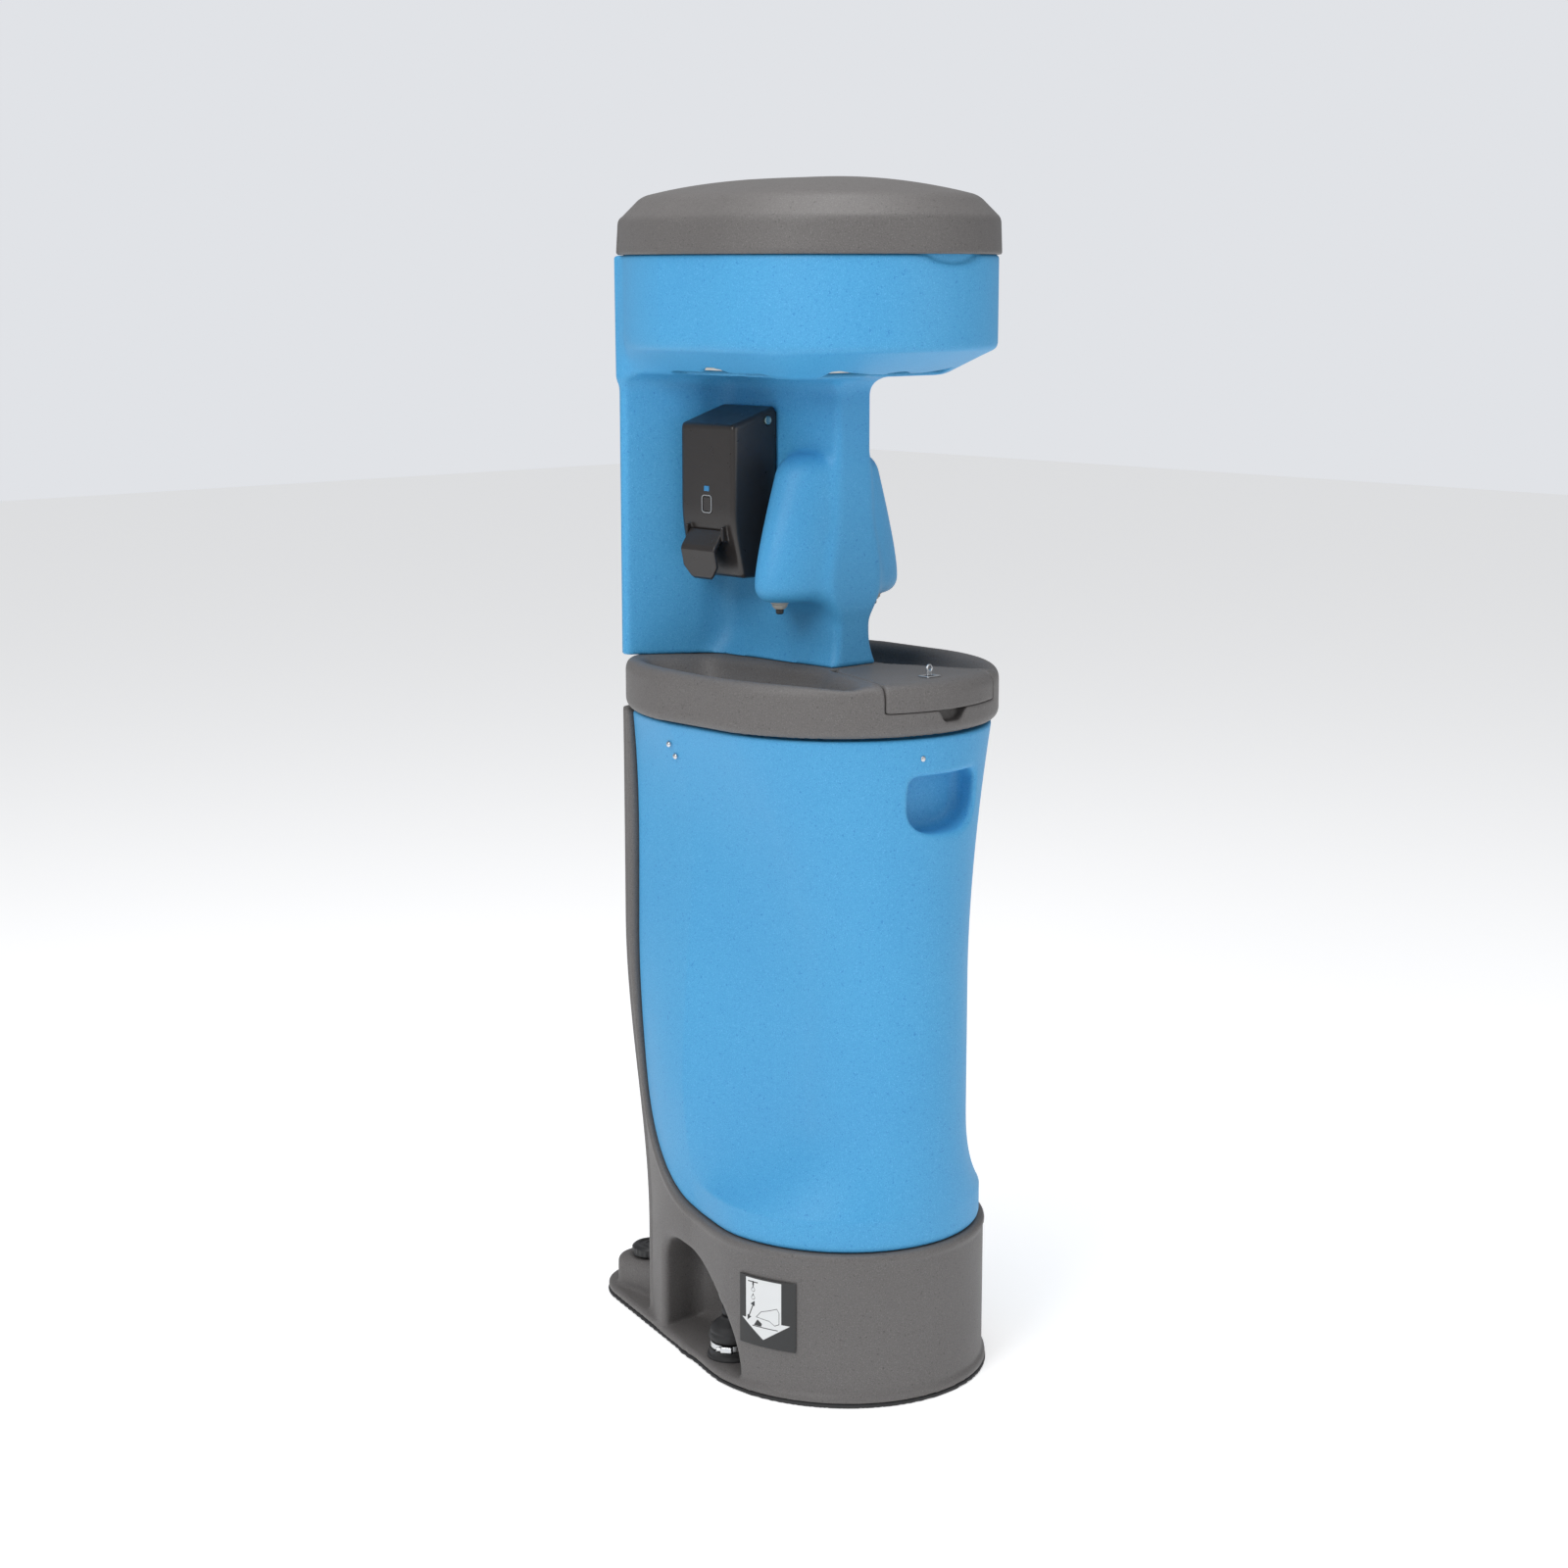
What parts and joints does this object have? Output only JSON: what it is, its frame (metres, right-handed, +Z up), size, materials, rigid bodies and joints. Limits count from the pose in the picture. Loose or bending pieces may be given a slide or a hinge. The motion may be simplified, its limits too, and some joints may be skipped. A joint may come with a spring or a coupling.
{
  "type": "portable handwash sink",
  "caption": "Free-standing foot-pumped handwash sink: waste tank, fresh-water tank, twin-bowl basin, spout column, soap dispensers and a lidded paper towel housing.",
  "frame": {"origin": "centre of the bounding box, on the floor", "axes": "+Z up; -Y towards the person in front of the hatch lid; +X to the right of the front view"},
  "size_m": [0.436, 0.64, 1.5998],
  "materials": {
    "blue_moulding": "fine speckled orange-peel, low sheen",
    "grey_moulding": "fine speckled orange-peel, low sheen",
    "black_rubber_pad": "matt",
    "black_plastic": "satin",
    "steel": "satin",
    "white_pipe": "smooth",
    "grey_collar": "satin",
    "soap_black": "satin black",
    "clear_window": "smoked",
    "soap_pouch": "soft film",
    "pump_rubber": "moulded, worn",
    "paper_towel": "folded stack",
    "label": "printed, laminated"
  },
  "bodies": {
    "stand": {"floor_pad": "black_rubber_pad", "waste_tank": "grey_moulding", "basin": "grey_moulding", "hatch_tray": "grey_moulding", "fresh_tank": "blue_moulding", "back_panel": "blue_moulding", "spout_column": "blue_moulding", "towel_housing": "blue_moulding", "spout_tip_left": "black_plastic", "spout_tip_right": "black_plastic", "soap_valve_left": "black_plastic", "soap_valve_right": "black_plastic", "hatch_pin": "steel", "lock_staple": "steel", "cap_pin": "steel", "drain_strainer_left": "steel", "drain_strainer_right": "steel", "pump_clamp_left": "steel", "pump_clamp_right": "steel", "rivet_front": "steel", "rivet_left_1": "steel", "rivet_left_2": "steel", "rivet_right_1": "steel", "rivet_right_2": "steel", "drain_pipe_left": "white_pipe", "drain_pipe_right": "white_pipe", "supply_hose_left": "white_pipe", "supply_hose_right": "white_pipe", "suction_hose_left": "white_pipe", "suction_hose_right": "white_pipe", "spout_collar_left": "grey_collar", "spout_collar_right": "grey_collar", "soap_back_left": "soap_black", "soap_back_right": "soap_black", "soap_pouch_left": "soap_pouch", "soap_pouch_right": "soap_pouch", "pump_base_left": "pump_rubber", "pump_base_right": "pump_rubber", "towels_front": "paper_towel", "towels_left": "paper_towel", "towels_right": "paper_towel", "pump_label_left": "label", "pump_label_right": "label"},
    "waste_cap_body": {"waste_cap": "black_plastic"},
    "fill_cap_body": {"fill_cap": "black_plastic"},
    "hatch_lid_body": {"hatch_lid": "grey_moulding", "lock_plate": "steel"},
    "cap_lid_body": {"cap_lid": "grey_moulding"},
    "soap_cover_body_left": {"soap_cover_left": "soap_black", "soap_window_left": "clear_window"},
    "soap_lock_body_left": {"soap_lock_left": "steel"},
    "soap_lever_body_left": {"soap_lever_left": "soap_black"},
    "pump_body_left": {"pump_button_left": "pump_rubber", "pump_bellows_left": "pump_rubber"},
    "soap_cover_body_right": {"soap_cover_right": "soap_black", "soap_window_right": "clear_window"},
    "soap_lock_body_right": {"soap_lock_right": "steel"},
    "soap_lever_body_right": {"soap_lever_right": "soap_black"},
    "pump_body_right": {"pump_button_right": "pump_rubber", "pump_bellows_right": "pump_rubber"}
  },
  "joints": [
    {"name": "hatch_lid_hinge", "type": "hinge", "parent": "stand", "child": "hatch_lid_body", "pos_m": [0, -0.15, 0.96], "axis": [-1, 0, 0], "range_deg": [0, 90]},
    {"name": "cap_lid_hinge", "type": "hinge", "parent": "stand", "child": "cap_lid_body", "pos_m": [0, 0.169, 1.494], "axis": [-1, 0, 0], "range_deg": [0, 100]},
    {"name": "fill_cap_turn", "type": "hinge", "parent": "stand", "child": "fill_cap_body", "pos_m": [0, -0.215, 0.92], "axis": [0, 0, 1], "range_deg": [0, 450]},
    {"name": "waste_cap_turn", "type": "hinge", "parent": "stand", "child": "waste_cap_body", "pos_m": [-0.048, 0.232, 0.064], "axis": [0, 0, 1], "range_deg": [0, 450]},
    {"name": "soap_cover_hinge_left", "type": "hinge", "parent": "stand", "child": "soap_cover_body_left", "pos_m": [-0.04, 0.029, 1.082], "axis": [0, -1, 0], "range_deg": [0, 80]},
    {"name": "soap_lock_turn_left", "type": "hinge", "parent": "soap_cover_body_left", "child": "soap_lock_body_left", "pos_m": [-0.052, -0.022, 1.286], "axis": [0, -1, 0], "range_deg": [0, 90]},
    {"name": "soap_lever_push_left", "type": "hinge", "parent": "soap_cover_body_left", "child": "soap_lever_body_left", "pos_m": [-0.1136, 0.029, 1.1385], "axis": [0, -1, 0], "range_deg": [0, 12], "stiffness_Nm_per_rad": 0.8, "springref_deg": -5.73},
    {"name": "pump_press_left", "type": "slide", "parent": "stand", "child": "pump_body_left", "axis": [0, 0, -1], "range_m": [0, 0.028], "stiffness_N_per_m": 2500, "springref_m": -0.001, "deforming": ["pump_bellows_left"]},
    {"name": "soap_cover_hinge_right", "type": "hinge", "parent": "stand", "child": "soap_cover_body_right", "pos_m": [0.04, 0.029, 1.082], "axis": [0, 1, 0], "range_deg": [0, 80]},
    {"name": "soap_lock_turn_right", "type": "hinge", "parent": "soap_cover_body_right", "child": "soap_lock_body_right", "pos_m": [0.052, -0.022, 1.286], "axis": [0, 1, 0], "range_deg": [0, 90]},
    {"name": "soap_lever_push_right", "type": "hinge", "parent": "soap_cover_body_right", "child": "soap_lever_body_right", "pos_m": [0.1136, 0.029, 1.1385], "axis": [0, 1, 0], "range_deg": [0, 12], "stiffness_Nm_per_rad": 0.8, "springref_deg": -5.73},
    {"name": "pump_press_right", "type": "slide", "parent": "stand", "child": "pump_body_right", "axis": [0, 0, -1], "range_m": [0, 0.028], "stiffness_N_per_m": 2500, "springref_m": -0.001, "deforming": ["pump_bellows_right"]}
  ]
}
